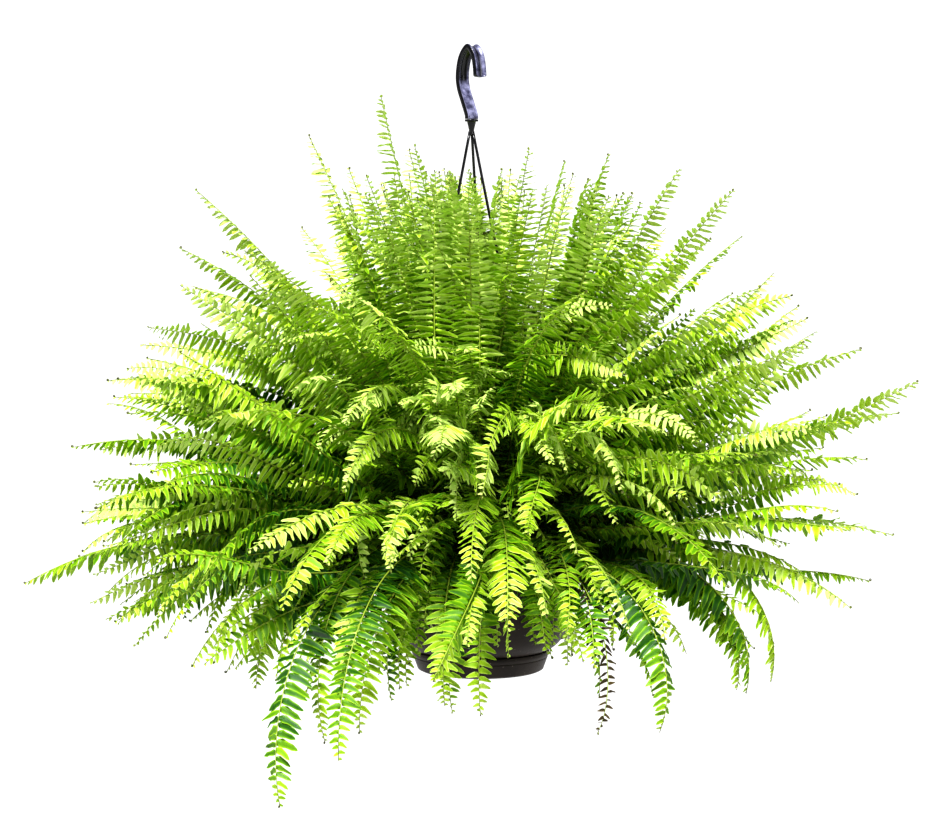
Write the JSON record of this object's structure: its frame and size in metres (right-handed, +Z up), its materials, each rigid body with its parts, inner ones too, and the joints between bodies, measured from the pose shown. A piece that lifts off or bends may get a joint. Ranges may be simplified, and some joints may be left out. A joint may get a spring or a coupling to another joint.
{
  "type": "potted fern in a hanging basket",
  "caption": "Full sword fern with arching fronds in a round plastic hanging basket, with a clip-on saucer and a moulded hook on thin strands.",
  "frame": {"origin": "the inner top of the hook, where the plant hangs on its bracket", "axes": "+Z up, +X to the right as seen from the front, -Y towards the front"},
  "size_m": [1.0649, 0.9036, 0.8378],
  "materials": {
    "hanger_plastic": "satin black moulded plastic",
    "basket_plastic": "fine-grained dark brown moulded plastic",
    "potting_soil": "damp crumbly potting mix",
    "rhizome": "scaly brown rhizome and old leaf bases",
    "frond_green": "thin leaf, half-matt above and duller below, lets light through"
  },
  "bodies": {
    "root": {"hook": "hanger_plastic", "hanger_collar": "hanger_plastic", "hanger_strand_1": "hanger_plastic", "hanger_strand_2": "hanger_plastic", "hanger_strand_3": "hanger_plastic", "pot": "basket_plastic", "saucer": "basket_plastic", "soil": "potting_soil", "crown": "rhizome", "frond_01": "frond_green", "frond_02": "frond_green", "frond_03": "frond_green", "frond_04": "frond_green", "frond_05": "frond_green", "frond_06": "frond_green", "frond_07": "frond_green", "frond_08": "frond_green", "frond_09": "frond_green", "frond_10": "frond_green", "frond_11": "frond_green", "frond_12": "frond_green", "frond_13": "frond_green", "frond_14": "frond_green", "frond_15": "frond_green", "frond_16": "frond_green", "frond_17": "frond_green", "frond_18": "frond_green", "frond_19": "frond_green", "frond_20": "frond_green", "frond_21": "frond_green", "frond_22": "frond_green", "frond_23": "frond_green", "frond_24": "frond_green", "frond_25": "frond_green", "frond_26": "frond_green", "frond_27": "frond_green", "frond_28": "frond_green", "frond_29": "frond_green", "frond_30": "frond_green", "frond_31": "frond_green", "frond_32": "frond_green", "frond_33": "frond_green", "frond_34": "frond_green", "frond_35": "frond_green", "frond_36": "frond_green", "frond_37": "frond_green", "frond_38": "frond_green", "frond_39": "frond_green", "frond_40": "frond_green", "frond_41": "frond_green", "frond_42": "frond_green", "frond_43": "frond_green", "frond_44": "frond_green", "frond_45": "frond_green", "frond_46": "frond_green", "frond_47": "frond_green", "frond_48": "frond_green", "frond_49": "frond_green", "frond_50": "frond_green", "frond_51": "frond_green"}
  },
  "joints": []
}
